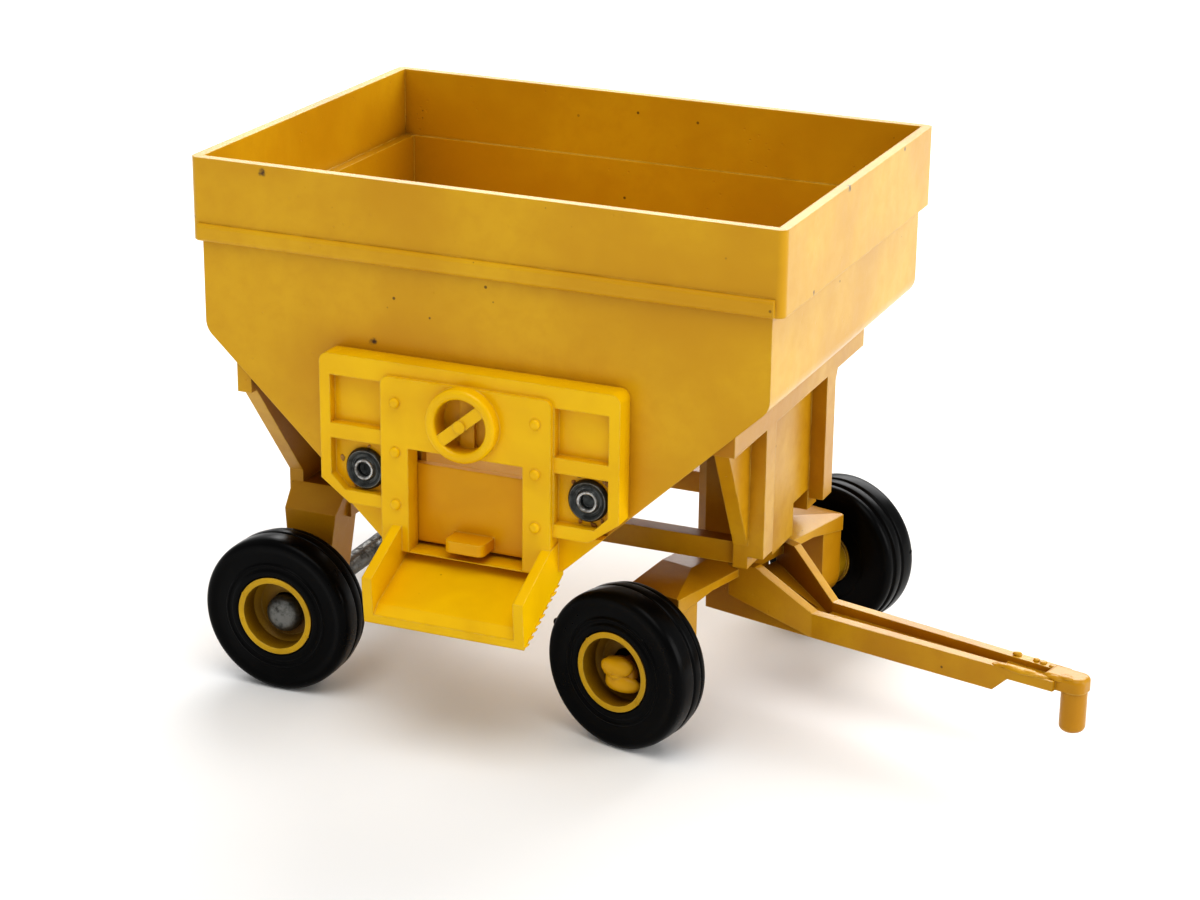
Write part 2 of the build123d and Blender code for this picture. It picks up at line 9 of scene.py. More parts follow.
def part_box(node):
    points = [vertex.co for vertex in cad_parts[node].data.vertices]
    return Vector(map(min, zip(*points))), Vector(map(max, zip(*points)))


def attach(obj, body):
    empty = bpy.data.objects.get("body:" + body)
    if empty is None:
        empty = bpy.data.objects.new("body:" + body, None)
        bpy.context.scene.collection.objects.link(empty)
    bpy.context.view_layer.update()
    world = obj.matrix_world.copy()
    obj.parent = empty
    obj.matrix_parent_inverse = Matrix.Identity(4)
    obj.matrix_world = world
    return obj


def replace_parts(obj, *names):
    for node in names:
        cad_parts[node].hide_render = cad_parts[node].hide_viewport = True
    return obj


# Sizes and places are in millimetres, but for the stage, and MM turns them into metres.
MM = 0.001

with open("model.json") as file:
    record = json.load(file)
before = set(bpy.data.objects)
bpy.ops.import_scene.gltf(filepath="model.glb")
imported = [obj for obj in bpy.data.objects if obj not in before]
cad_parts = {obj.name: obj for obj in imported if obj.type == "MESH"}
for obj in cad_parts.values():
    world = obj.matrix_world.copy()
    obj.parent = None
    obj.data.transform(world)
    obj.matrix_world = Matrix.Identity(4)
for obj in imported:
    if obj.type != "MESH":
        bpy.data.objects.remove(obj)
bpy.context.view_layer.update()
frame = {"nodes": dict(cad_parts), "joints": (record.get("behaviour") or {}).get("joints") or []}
nodes = frame["nodes"]
joints = {joint["name"]: joint for joint in frame["joints"]}


# ---- places taken from the CAD ----

def joint_line(name):
    """A point on a hinge's axis and the axis direction."""
    joint = joints[name]
    return Vector(joint["pos_m"]), Vector(joint["axis"]).normalized()


# ---- shader arithmetic ----

# Colour sockets of a Mix node, which share their names with those of its other kinds.
MIX_START = 6
MIX_END = 7
MIX_RESULT = 2


class Wire:
    """A shader socket that works in Python arithmetic, and makes the nodes that follow it."""

    def __init__(self, tree, socket):
        self.tree = tree
        self.socket = socket

    def node(self, kind, settings=None, sockets=None, output=0):
        """Adds a node of that type: its settings first, then its sockets."""
        made = self.tree.nodes.new(kind)
        for name, value in (settings or {}).items():
            if name == "stops":
                set_stops(made.color_ramp, value)
            else:
                setattr(made, name, value)
        for name, value in (sockets or {}).items():
            if isinstance(value, Wire):
                self.tree.links.new(value.socket, made.inputs[name])
            else:
                made.inputs[name].default_value = value
        return Wire(self.tree, made.outputs[output])

    def maths(self, operation, first, second=0.0):
        return self.node("ShaderNodeMath", {"operation": operation}, {0: first, 1: second})

    def __add__(self, other):
        return self.maths("ADD", self, other)

    def __radd__(self, other):
        return self.maths("ADD", other, self)

    def __sub__(self, other):
        return self.maths("SUBTRACT", self, other)

    def __rsub__(self, other):
        return self.maths("SUBTRACT", other, self)

    def __mul__(self, other):
        return self.maths("MULTIPLY", self, other)

    def __rmul__(self, other):
        return self.maths("MULTIPLY", other, self)

    def larger(self, other):
        return self.maths("MAXIMUM", self, other)

    def between(self, low, high):
        """0 below low, 1 above high and a smooth step between them."""
        return self.node("ShaderNodeMapRange", {"interpolation_type": "SMOOTHSTEP"},
                         {"Value": self, "From Min": low, "From Max": high})

    def tint(self, start, end, amount=None):
        """Colour that goes from start towards end with this value, which amount scales down."""
        share = self if amount is None else self * amount
        return self.node("ShaderNodeMix", {"data_type": "RGBA"},
                         {"Factor": share, MIX_START: start, MIX_END: end}, output=MIX_RESULT)


def set_stops(ramp, stops):
    """Places the stops of a colour ramp."""
    while len(ramp.elements) < len(stops):
        ramp.elements.new(1.0)
    for element, (place, colour) in zip(ramp.elements, stops):
        element.position = place
        element.color = colour


def rgb(red, green, blue):
    return (red, green, blue, 1.0)


def new_material(name):
    """Empty material with its shader, and the object coordinates as the first wire."""
    material = bpy.data.materials.new(name)
    material.use_nodes = True
    tree = material.node_tree
    shader = tree.nodes["Principled BSDF"]
    coordinates = tree.nodes.new("ShaderNodeTexCoord")
    return material, shader, Wire(tree, coordinates.outputs["Object"])


# ---- patterns ----

EDGE_SAMPLES = 4
SHELTER_SAMPLES = 6
ROUNDING_SAMPLES = 6
SPECK_CORE = 0.6
SPECK_PATCH = 6.0
SPECK_FADE = 0.08
MARK_GRAIN = 0.8
MARK_RAGGED = 0.8
MARK_SWING = 2.0
MARK_CORE = 0.85
MARK_RIM = 1.15


def noise(place, size, detail=2.0, roughness=0.5, distortion=0.0):
    """Cloudy pattern whose patches are about size mm."""
    return place.node("ShaderNodeTexNoise", {}, {
        "Vector": place, "Scale": 1.0 / (size * MM), "Detail": detail,
        "Roughness": roughness, "Distortion": distortion})


def cells(place, spacing):
    """Distance to scattered points about spacing mm apart, as a share of that spacing."""
    return place.node("ShaderNodeTexVoronoi", {}, {"Vector": place, "Scale": 1.0 / (spacing * MM)})


def specks(place, spacing, radius, share):
    """Round specks in patches. Their radius is a share of the spacing, and a larger share has more."""
    dots = 1.0 - cells(place, spacing).between(radius * SPECK_CORE, radius)
    start = 1.0 - share
    return dots * noise(place, spacing * SPECK_PATCH).between(start, start + SPECK_FADE)


def edges(place, width):
    """0 on flat surface, and more the sharper the edge is, width mm wide."""
    soft = place.node("ShaderNodeBevel", {"samples": EDGE_SAMPLES}, {"Radius": width * MM})
    true = place.node("ShaderNodeNewGeometry", {}, {}, output="True Normal")
    near = place.node("ShaderNodeVectorMath", {"operation": "DOT_PRODUCT"},
                      {0: soft, 1: true}, output="Value")
    return 1.0 - near


def shut_in(place, reach):
    """1 in corners and narrow gaps, 0 on open surface, looking reach mm around."""
    open_share = place.node("ShaderNodeAmbientOcclusion", {"samples": SHELTER_SAMPLES},
                            {"Distance": reach * MM}, output="AO")
    return 1.0 - open_share


def mark(place, point, radius):
    """A ragged patch round a point, both in mm."""
    away = place.node("ShaderNodeVectorMath", {"operation": "DISTANCE"},
                      {0: place, 1: [c * MM for c in point]}, output="Value")
    wobble = noise(place, radius * MARK_GRAIN, detail=3.0) * (radius * MARK_RAGGED * MARK_SWING * MM)
    rim = radius * (MARK_RIM + MARK_RAGGED) * MM
    return 1.0 - (away + wobble).between(radius * MARK_CORE * MM, rim)


def marks(place, spots):
    """All the ragged patches of a list of points and radii."""
    together = None
    for point, radius in spots:
        patch = mark(place, point, radius)
        together = patch if together is None else together.larger(patch)
    return together


def bumped(place, height, strength, depth, rounding):
    """Normal with that height field, over edges rounded by rounding mm."""
    base = place.node("ShaderNodeBevel", {"samples": ROUNDING_SAMPLES}, {"Radius": rounding * MM})
    return place.node("ShaderNodeBump", {}, {
        "Height": height, "Strength": strength, "Distance": depth * MM, "Normal": base})


def plug(shader, name, wire):
    wire.tree.links.new(wire.socket, shader.inputs[name])


def fix(shader, values):
    """Sets plain values on the shader's sockets."""
    for name, value in values.items():
        shader.inputs[name].default_value = value


# ---- finishes ----

# Dark brown of the painted shade in hollows and under the hopper.
PAINT_SHADE_BROWN = rgb(0.24, 0.080, 0.001)
# Brown of the crevice dirt and painted shade in narrow gaps.
PAINT_DIRT_AND_SHADE = rgb(0.105, 0.045, 0.006)
PAINT_SPECKS = rgb(0.05, 0.022, 0.006)
PAINT_SCRAPED = rgb(0.80, 0.52, 0.30)
PAINT_CHIPPED = rgb(0.055, 0.028, 0.014)
PLASTIC_SPECKS = rgb(0.20, 0.07, 0.004)
# Pale yellow of worn plastic edges with a painted edge highlight.
PLASTIC_EDGE_WEAR_AND_HIGHLIGHT = rgb(0.98, 0.78, 0.22)
VINYL_DARK = rgb(0.0007, 0.0007, 0.0008)
VINYL_SWIRL = rgb(0.0020, 0.0020, 0.0021)
VINYL_EDGES = rgb(0.045, 0.046, 0.048)
VINYL_DUST = rgb(0.16, 0.15, 0.13)
STEEL_EDGES = rgb(0.72, 0.70, 0.66)
FLOOR_PALE = rgb(0.86, 0.86, 0.855)
FLOOR_PALER = rgb(0.90, 0.90, 0.895)


def enamel(name, base, deep, worn, shade_range, chips=(), scrapes=()):
    """Semi-gloss enamel over a rough casting: waves, pits, worn edges with a painted highlight, dirt,
    painted shade in hollows and under things, and chips.
    """
    material, shader, place = new_material(name)
    # Painted shade: the paint turns dark brown where the surface is shut in, under the hopper and inside
    # it.
    painted_shade = shut_in(place, reach=18.0).between(*shade_range)
    cloud = noise(place, size=14.0, detail=3.0)
    mottle = noise(place, size=1.6, detail=4.0, roughness=0.6)
    colour = cloud.between(0.3, 0.7).tint(base, deep)
    colour = mottle.between(0.35, 0.75).tint(colour, deep, amount=0.35)
    colour = painted_shade.tint(colour, PAINT_SHADE_BROWN, amount=0.80)
    # Crevice dirt and painted shade: darker brown in narrow gaps, in patches; the same mask also makes
    # the paint rougher.
    crevice_dirt_and_shade = shut_in(place, reach=1.6).between(0.35, 0.95) * mottle.between(0.2, 0.7)
    colour = crevice_dirt_and_shade.tint(colour, PAINT_DIRT_AND_SHADE, amount=0.75)
    patchy = noise(place, size=2.4, detail=4.0).between(0.36, 0.62)
    # Paler colour on sharp edges, in patches: worn paint and a painted edge highlight.
    edge_wear_and_highlight = edges(place, width=0.22).between(0.02, 0.22) * patchy
    colour = edge_wear_and_highlight.tint(colour, worn, amount=0.6)
    fine_dirt = specks(place, spacing=1.5, radius=0.060, share=0.42)
    dirt = fine_dirt.larger(specks(place, spacing=3.7, radius=0.05, share=0.50))
    colour = dirt.tint(colour, PAINT_SPECKS, amount=0.8)
    for point, radius in scrapes:
        colour = mark(place, point, radius).tint(colour, PAINT_SCRAPED)
    if chips:
        colour = marks(place, chips).tint(colour, PAINT_CHIPPED)
    plug(shader, "Base Color", colour)
    plug(shader, "Roughness", 0.30 + mottle * 0.16 + crevice_dirt_and_shade * 0.25 + dirt * 0.2)
    peel = noise(place, size=0.55)
    waves = noise(place, size=5.5)
    pits = 1.0 - cells(place, spacing=0.9).between(0.04, 0.16)
    pits = pits * noise(place, size=4.0).between(0.55, 0.62)
    height = peel * 0.10 + waves * 0.9 + mottle * 0.16 - pits * 0.5 - dirt * 0.15
    plug(shader, "Normal", bumped(place, height, strength=0.55, depth=0.16, rounding=0.20))
    fix(shader, {"Coat Weight": 0.65, "Coat IOR": 1.25, "Coat Roughness": 0.24,
                 "Specular IOR Level": 0.16})
    return material


def moulded(name, base, deep, gloss, reach=3.0, strength=0.75):
    """Glossy moulded plastic with flow marks, a fine grain, specks, painted shade in the corners and
    worn edges with a painted highlight.
    """
    material, shader, place = new_material(name)
    flow = noise(place, size=7.0, detail=3.0, distortion=0.6)
    fine = noise(place, size=0.7, detail=4.0, roughness=0.6)
    colour = flow.between(0.3, 0.75).tint(base, deep, amount=0.30)
    # Painted shade: the colour turns towards deep where the surface is shut in, looking reach mm around,
    # by strength.
    corner = shut_in(place, reach).between(0.18, 0.75)
    colour = corner.tint(colour, deep, amount=strength)
    dirt = specks(place, spacing=1.9, radius=0.06, share=0.42)
    colour = dirt.tint(colour, PLASTIC_SPECKS, amount=0.55)
    # Paler colour on sharp edges, in patches: worn plastic and a painted edge highlight.
    edge_wear_and_highlight = edges(place, width=0.18).between(0.03, 0.25) * fine.between(0.35, 0.6)
    colour = edge_wear_and_highlight.tint(colour, PLASTIC_EDGE_WEAR_AND_HIGHLIGHT, amount=0.35)
    plug(shader, "Base Color", colour)
    plug(shader, "Roughness", gloss + fine * 0.12 + corner * 0.10)
    height = flow * 0.8 + fine * 0.12 - dirt * 0.2
    plug(shader, "Normal", bumped(place, height, strength=0.35, depth=0.12, rounding=0.24))
    fix(shader, {"Specular IOR Level": 0.22})
    return material


def vinyl(name):
    """Near-black soft vinyl with moulding swirls, dust and scuffed edges."""
    material, shader, place = new_material(name)
    swirl = noise(place, size=5.0, detail=3.0, distortion=1.0)
    fine = noise(place, size=0.45, detail=3.0)
    dust = specks(place, spacing=1.3, radius=0.05, share=0.42)
    colour = swirl.between(0.3, 0.8).tint(VINYL_DARK, VINYL_SWIRL)
    colour = edges(place, width=0.16).between(0.05, 0.4).tint(colour, VINYL_EDGES, amount=0.5)
    colour = dust.tint(colour, VINYL_DUST, amount=0.7)
    plug(shader, "Base Color", colour)
    plug(shader, "Roughness", 0.20 + swirl * 0.12 + fine * 0.08 + dust * 0.3)
    height = swirl * 0.9 + fine * 0.12 + dust * 0.2
    plug(shader, "Normal", bumped(place, height, strength=0.4, depth=0.10, rounding=0.12))
    fix(shader, {"Specular IOR Level": 0.085})
    return material


def steel(name, base, stain, rough):
    """Formed steel: fine scratches, dull stains and bright edges."""
    material, shader, place = new_material(name)
    blotch = noise(place, size=1.1, detail=4.0, roughness=0.65)
    scratch = place.node("ShaderNodeTexWave", {"wave_type": "BANDS", "bands_direction": "DIAGONAL"}, {
        "Vector": place, "Scale": 900.0, "Distortion": 9.0, "Detail": 3.0,
        "Detail Scale": 2.0}, output="Fac")
    stained = blotch.between(0.42, 0.68)
    colour = stained.tint(base, stain)
    worn = edges(place, width=0.14).between(0.04, 0.3)
    colour = worn.tint(colour, STEEL_EDGES, amount=0.6)
    plug(shader, "Base Color", colour)
    plug(shader, "Roughness", rough + stained * 0.2 + scratch * 0.08)
    plug(shader, "Metallic", 0.9 - stained * 0.35)
    height = scratch * 0.25 + blotch
    plug(shader, "Normal", bumped(place, height, strength=0.5, depth=0.05, rounding=0.10))
    return material


def paper(name):
    """Pale matt floor with a faint grain."""
    material, shader, place = new_material(name)
    grain = noise(place, size=30.0, detail=3.0)
    plug(shader, "Base Color", grain.tint(FLOOR_PALE, FLOOR_PALER))
    fix(shader, {"Roughness": 0.85, "Specular IOR Level": 0.1})
    return material


# ---- modelling helpers ----

WELD = 0.002
ROUND_STEPS = 96
RIVET_STEPS = 72
SMOOTH_ANGLE = 35.0
FLAKE_ANGLE = 25.0
BLOB_LUMPS = 5
BLOB_REACH = 0.6
BLOB_SWELL = 0.5
CORNER_SHARE = 0.45


def deselect():
    if bpy.context.object and bpy.context.object.mode != "OBJECT":
        bpy.ops.object.mode_set(mode="OBJECT")
    bpy.ops.object.select_all(action="DESELECT")


def finished(piece, name, material, body, smooth=SMOOTH_ANGLE):
    """Names a piece, applies its place, smooths it and fixes it to its CAD body."""
    piece.name = name
    deselect()
    piece.select_set(True)
    bpy.context.view_layer.objects.active = piece
    bpy.ops.object.transform_apply(location=True, rotation=True, scale=True)
    bpy.ops.object.shade_smooth_by_angle(angle=radians(smooth))
    piece.data.materials.clear()
    piece.data.materials.append(material)
    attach(piece, body)
    return piece


def spun(path, steps):
    """Path of (radius, height) points in mm, spun round the z axis at the origin."""
    deselect()
    bpy.ops.mesh.primitive_plane_add(size=MM)
    piece = bpy.context.object
    bpy.ops.object.mode_set(mode="EDIT")
    bpy.ops.mesh.select_all(action="SELECT")
    bpy.ops.mesh.merge(type="CENTER")
    here = Vector((path[0][0], 0, path[0][1])) * MM
    bpy.ops.transform.translate(value=here)
    for radius, height in path[1:]:
        there = Vector((radius, 0, height)) * MM
        bpy.ops.mesh.extrude_vertices_move(TRANSFORM_OT_translate={"value": there - here})
        here = there
    bpy.ops.mesh.select_all(action="SELECT")
    bpy.ops.mesh.spin(steps=steps, angle=2 * pi, center=(0, 0, 0), axis=(0, 0, 1))
    bpy.ops.mesh.select_all(action="SELECT")
    bpy.ops.mesh.remove_doubles(threshold=WELD * MM)
    bpy.ops.mesh.normals_make_consistent(inside=False)
    bpy.ops.object.mode_set(mode="OBJECT")
    return piece


def spun_ring(outline, steps=ROUND_STEPS):
    """Closed outline off the axis, spun into a ring."""
    return spun(outline + outline[:1], steps)


def copy_of(piece):
    """Copy with its own mesh."""
    twin = piece.copy()
    twin.data = piece.data.copy()
    bpy.context.scene.collection.objects.link(twin)
    return twin


def stand(piece, place, axis):
    """Turns the piece's z axis onto axis and puts its origin at place."""
    turn = Vector((0, 0, 1)).rotation_difference(Vector(axis).normalized())
    piece.matrix_world = Matrix.Translation(place) @ turn.to_matrix().to_4x4()
    return piece


def blob(place, size, seed, turn=0.0):
    """Lump of paint or flash: a rounded, uneven pebble with half-sizes in mm."""
    deselect()
    bpy.ops.mesh.primitive_ico_sphere_add(subdivisions=3, radius=MM, location=place)
    piece = bpy.context.object
    piece.scale = size
    piece.rotation_euler = (0, 0, turn)
    picker = random.Random(seed)
    lumps = [Vector((picker.uniform(-1, 1), picker.uniform(-1, 1), picker.uniform(-1, 1)))
             for _ in range(BLOB_LUMPS)]
    for vertex in piece.data.vertices:
        out = vertex.co.normalized()
        push = sum(max(0.0, out.dot(lump.normalized()) - BLOB_REACH) for lump in lumps)
        vertex.co *= 1.0 + BLOB_SWELL * push
    return piece


def joined(pieces):
    """One object out of several."""
    deselect()
    for piece in pieces:
        piece.select_set(True)
    bpy.context.view_layer.objects.active = pieces[0]
    if len(pieces) > 1:
        bpy.ops.object.join()
    return pieces[0]


def rounded(points, radius, steps):
    """Outline with its corners rounded by radius, in mm."""
    out = []
    count = len(points)
    for i, corner in enumerate(points):
        before = Vector(points[i - 1]) - Vector(corner)
        after = Vector(points[(i + 1) % count]) - Vector(corner)
        reach = min(radius, before.length * CORNER_SHARE, after.length * CORNER_SHARE)
        start = Vector(corner) + before.normalized() * reach
        end = Vector(corner) + after.normalized() * reach
        for k in range(steps + 1):
            t = k / steps
            point = start * (1 - t) ** 2 + Vector(corner) * 2 * t * (1 - t) + end * t ** 2
            out.append((point.x, point.y))
    return out


# ---- wheels ----

# The wheels, each with the turn in radians that keeps its tyre's nicks from lining up with the rest.
WHEEL_TURNS = {"rear_right": 0.3, "rear_left": 2.0, "front_right": 1.1, "front_left": 4.0}

# Radius, and depth from the outer face.
TYRE_OUTLINE = [
    (4.08, 0.16), (4.22, 0.00), (4.72, 0.00), (4.90, 0.16), (5.18, 0.16), (5.27, 0.05),
    (5.40, 0.05), (5.50, 0.20), (6.60, 0.22), (7.20, 0.02), (7.62, 0.14), (7.90, 0.46),
    (8.00, 0.95), (8.00, 2.30), (7.82, 2.42), (7.82, 2.62), (7.95, 2.72), (7.95, 3.62),
    (7.66, 3.72), (7.66, 3.92), (7.78, 4.02), (7.74, 4.50), (7.45, 4.88), (6.90, 5.00),
    (4.60, 5.00), (4.40, 4.85), (3.30, 4.85), (2.96, 4.95), (2.96, 3.22), (4.08, 2.62)]
TYRE_STEPS = 112
TYRE_CORNER = 0.16
TYRE_CORNER_STEPS = 2

# Angle round the tyre, depth from its outer face, and size.
TYRE_NICKS = ((2.2, 0.75, 0.34), (2.52, 0.70, 0.24), (0.9, 3.7, 0.2))
NICK_RADIUS = 7.58
NICK_SPREAD = 1.3
NICK_HEIGHT = 1.1
NICK_SEED = 11

HUB_FLASH_ANGLES = (0.4, 2.9, 3.6)
HUB_FLASH_RADIUS = 3.86
HUB_FLASH_DEPTH = 0.10
HUB_FLASH_SIZE = (0.20, 0.16, 0.20)
HUB_FLASH_SEED = 31


def inward(node, joint_name):
    """Centre of a wheel piece's outer face, and the direction from there into the wagon."""
    point, axis = joint_line(joint_name)
    reach = [(vertex.co - point).dot(axis) for vertex in nodes[node].data.vertices]
    if "right" in joint_name:
        return point + axis * min(reach), axis
    return point + axis * max(reach), -axis


def build_tyres(material):
    """One-piece tyres: bead, moulded ring, round shoulder, steps of the mould's halves and nicks."""
    pattern = spun_ring(rounded(TYRE_OUTLINE, TYRE_CORNER, TYRE_CORNER_STEPS), TYRE_STEPS)
    for label, turn in WHEEL_TURNS.items():
        node = "tyre_" + label
        face, into = inward(node, label + "_spin")
        tyre = stand(copy_of(pattern), face, into)
        bits = [tyre]
        for k, (angle, depth, size) in enumerate(TYRE_NICKS):
            nick = Matrix.Rotation(angle + turn, 4, "Z") @ Vector((NICK_RADIUS, 0, depth))
            spot = tyre.matrix_world @ (nick * MM)
            sizes = (size * NICK_SPREAD, size * NICK_SPREAD, size * NICK_HEIGHT)
            bits.append(blob(spot, sizes, NICK_SEED + k))
        finished(joined(bits), label + "_tyre", material, "wheel_" + label)
        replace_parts(bpy.data.objects[label + "_tyre"], node)
    bpy.data.objects.remove(pattern)


def build_hub_flash(material):
    """Small nicks of flash on the rims of the hubs."""
    for label in WHEEL_TURNS:
        face, into = inward("hub_" + label, label + "_spin")
        turn = Vector((0, 0, 1)).rotation_difference(into).to_matrix()
        bits = []
        for k, angle in enumerate(HUB_FLASH_ANGLES):
            rim = (HUB_FLASH_RADIUS * cos(angle), HUB_FLASH_RADIUS * sin(angle), HUB_FLASH_DEPTH)
            place = turn @ Vector(rim) * MM
            bits.append(blob(face + place, HUB_FLASH_SIZE, HUB_FLASH_SEED + k, angle))
        finished(joined(bits), label + "_hub_flash", material, "wheel_" + label)


# ---- rivets on the door ----

# Radius, and height over the seat, which is the face that the rivet's flange lies on.
RIVET_SHANK = 3.0
RIVET_OUTLINE = [
    (0.00, -RIVET_SHANK), (1.40, -RIVET_SHANK), (1.50, -2.88), (1.50, -2.40), (0.95, -2.40),
    (0.95, 0.00), (2.04, 0.00), (2.08, 0.16), (2.02, 0.42), (1.84, 0.60), (1.66, 0.55),
    (1.46, 0.36), (1.26, 0.33), (1.10, 0.42), (0.98, 0.58), (0.72, 0.52), (0.66, 0.10),
    (0.42, -0.02), (0.00, 0.04)]
RIVET_RING = [
    (1.06, 0.42), (1.05, 0.66), (0.98, 0.76), (0.88, 0.78), (0.78, 0.72), (0.72, 0.58),
    (0.73, 0.12), (0.80, 0.12), (0.96, 0.42)]
OUTWARD = (0, -1, 0)

DENT_HITS = 5
DENT_WIDTHS = (0.4, 0.9)
DENT_SQUEEZE = 0.05
BODY_DENT = 0.10
BODY_DENT_SEED = 5
RING_DENT = 0.12
RING_DENT_SEED = 9

FLAKES = 9
FLAKE_RING = (2.15, 2.6)
FLAKE_SIZES = (0.16, 0.34)
FLAKE_ASPECTS = (0.4, 0.9)
FLAKE_THICKNESS = 0.09
FLAKE_LIFT = 0.05
FLAKE_PLACE_SEED = 40
FLAKE_SEED = 60
FLAKE_SEED_STEP = 20


def dent(piece, seed, depth):
    """Uneven hand-worked surface: hits push points down, in proportion to depth, and inward a little."""
    picker = random.Random(seed)
    hits = [(picker.uniform(-pi, pi), picker.uniform(*DENT_WIDTHS)) for _ in range(DENT_HITS)]
    for vertex in piece.data.vertices:
        angle = atan2(vertex.co.y, vertex.co.x)
        push = sum(max(0.0, cos(angle - hit) - width) for hit, width in hits)
        vertex.co.z -= push * depth * MM
        vertex.co.xy *= 1.0 - DENT_SQUEEZE * push


def torn_flakes(seat, side):
    """Flakes of paint in a ring round a rivet."""
    picker = random.Random(FLAKE_PLACE_SEED + side)
    flakes = []
    for k in range(FLAKES):
        angle = picker.uniform(0, 2 * pi)
        away = picker.uniform(*FLAKE_RING)
        spot = seat + Vector((away * cos(angle), -FLAKE_LIFT, away * sin(angle))) * MM
        size = picker.uniform(*FLAKE_SIZES)
        sizes = (size, FLAKE_THICKNESS, size * picker.uniform(*FLAKE_ASPECTS))
        lump = blob(spot, sizes, FLAKE_SEED + k + side * FLAKE_SEED_STEP)
        lump.rotation_euler = (0, picker.uniform(0, pi), 0)
        flakes.append(lump)
    return joined(flakes)


def build_door_rivets(flange, ring, flake):
    """Semi-tubular rivets: dished flange, bright rolled ring, and paint torn up round them."""
    for side, name in enumerate(("rear", "front")):
        node = "door_rivet_" + name
        low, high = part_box(node)
        seat = Vector(((low.x + high.x) / 2, high.y - RIVET_SHANK * MM, (low.z + high.z) / 2))
        body = spun(RIVET_OUTLINE, RIVET_STEPS)
        dent(body, BODY_DENT_SEED + side, BODY_DENT)
        stand(body, seat, OUTWARD)
        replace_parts(finished(body, "door_rivet_body_" + name, flange, "wagon"), node)
        rolled = spun_ring(RIVET_RING, RIVET_STEPS)
        dent(rolled, RING_DENT_SEED + side, RING_DENT)
        stand(rolled, seat, OUTWARD)
        finished(rolled, "door_rivet_ring_" + name, ring, "wagon")
        flakes = torn_flakes(seat, side)
        finished(flakes, "torn_paint_" + name, flake, "wagon", FLAKE_ANGLE)


# ---- front axle ends, paint lumps and flash ----

PEEN_OUT = 1.25
PEEN_DROP = 0.70
PEEN_LOBES = ((-0.25, 0.76), (0.25, -0.76))
PEEN_LOBE_SIZE = (1.70, 0.70, 0.95)
PEEN_LOBE_SEED = 71
PEEN_TIP_OUT = 0.45
PEEN_TIP_SIZE = (0.55, 0.30, 0.26)
PEEN_TIP_SEED = 77
PEEN_TIP_TURN = 0.5

# Place along, across and above the tongue, then half-length, half-width and half-height.
TONGUE_LUMPS = (
    (33.2, -1.50, 10.50, 2.1, 0.62, 0.22), (31.0, -1.55, 10.46, 0.8, 0.45, 0.18),
    (35.2, -1.35, 10.42, 1.1, 0.50, 0.24), (32.3, -1.45, 10.62, 0.7, 0.40, 0.20),
    (34.2, -1.45, 10.60, 0.6, 0.42, 0.22), (36.6, -1.00, 10.55, 1.0, 0.50, 0.28),
    (37.7, -0.75, 10.74, 0.8, 0.46, 0.22), (36.9, 0.60, 10.62, 0.8, 0.45, 0.24),
    (31.2, 1.60, 10.55, 0.42, 0.40, 0.24), (33.3, 1.50, 10.52, 0.32, 0.36, 0.22),
    (34.1, 1.45, 10.50, 0.36, 0.34, 0.20), (35.8, 1.30, 10.48, 0.9, 0.42, 0.20))
TONGUE_TURN = radians(-14.0)
TONGUE_SEED = 80

FLASH_BITS = 9
FLASH_LENGTH = 6.8
FLASH_SLOPE = 0.486
FLASH_X = -4.50
FLASH_START = 1.0
FLASH_LIFT = 0.25
FLASH_RAGGED = 0.05
FLASH_THICKNESS = 0.09
FLASH_BIT_LENGTH = 0.60
FLASH_HEIGHT = 0.11
FLASH_PLACE_SEED = 3
FLASH_SEED = 120


def build_peens(material):
    """Stub ends hammered over into two lobes."""
    for label in ("front_right", "front_left"):
        face, into = inward("hub_" + label, label + "_spin")
        along = Vector((into.y, -into.x, 0))
        end = face + into * PEEN_OUT * MM - Vector((0, 0, PEEN_DROP * MM))
        bits = []
        for k, (slide, lift) in enumerate(PEEN_LOBES):
            spot = end + (along * slide + Vector((0, 0, lift))) * MM
            bits.append(blob(spot, PEEN_LOBE_SIZE, PEEN_LOBE_SEED + k, atan2(along.y, along.x)))
        bits.append(blob(end - into * PEEN_TIP_OUT * MM, PEEN_TIP_SIZE, PEEN_TIP_SEED, PEEN_TIP_TURN))
        finished(joined(bits), label + "_peened_end", material, "truck")


def truck_point(x, y, z):
    """Place in the row frame of a point given in mm along, across and above the tongue."""
    pivot, _ = joint_line("steer")
    _, across = joint_line("front_right_spin")
    along = Vector((across.y, -across.x, 0))
    return Vector((pivot.x, pivot.y, 0)) + (along * x + across * y + Vector((0, 0, z))) * MM


def build_tongue_lumps(material):
    """Runs and lumps of paint on the rails and the nose of the tongue."""
    bits = [blob(truck_point(x, y, z), (long, wide, tall), TONGUE_SEED + k, TONGUE_TURN)
            for k, (x, y, z, long, wide, tall) in enumerate(TONGUE_LUMPS)]
    finished(joined(bits), "tongue_paint_lumps", material, "truck")


def build_cheek_flash(material):
    """Thin ragged fin where the chute's mould closed, along the lower edge of its right cheek."""
    low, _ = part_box("door_unit")
    picker = random.Random(FLASH_PLACE_SEED)
    bits = []
    for k in range(FLASH_BITS):
        back = FLASH_LENGTH * k / (FLASH_BITS - 1)
        ragged = picker.uniform(-FLASH_RAGGED, FLASH_RAGGED)
        y = low.y / MM + FLASH_START + back
        z = low.z / MM + FLASH_LIFT + back * FLASH_SLOPE
        size = (FLASH_THICKNESS, FLASH_BIT_LENGTH, FLASH_HEIGHT + ragged)
        bits.append(blob(Vector((FLASH_X + ragged, y, z)) * MM, size, FLASH_SEED + k))
    finished(joined(bits), "chute_flash", material, "wagon", FLAKE_ANGLE)


# ---- stage, in metres, with the lens and its sensor in millimetres ----

FLOOR_SIZE = 6.0
LIGHT_TARGET = (0.0, 0.0, 0.025)
WORLD_STRENGTH = 0.62

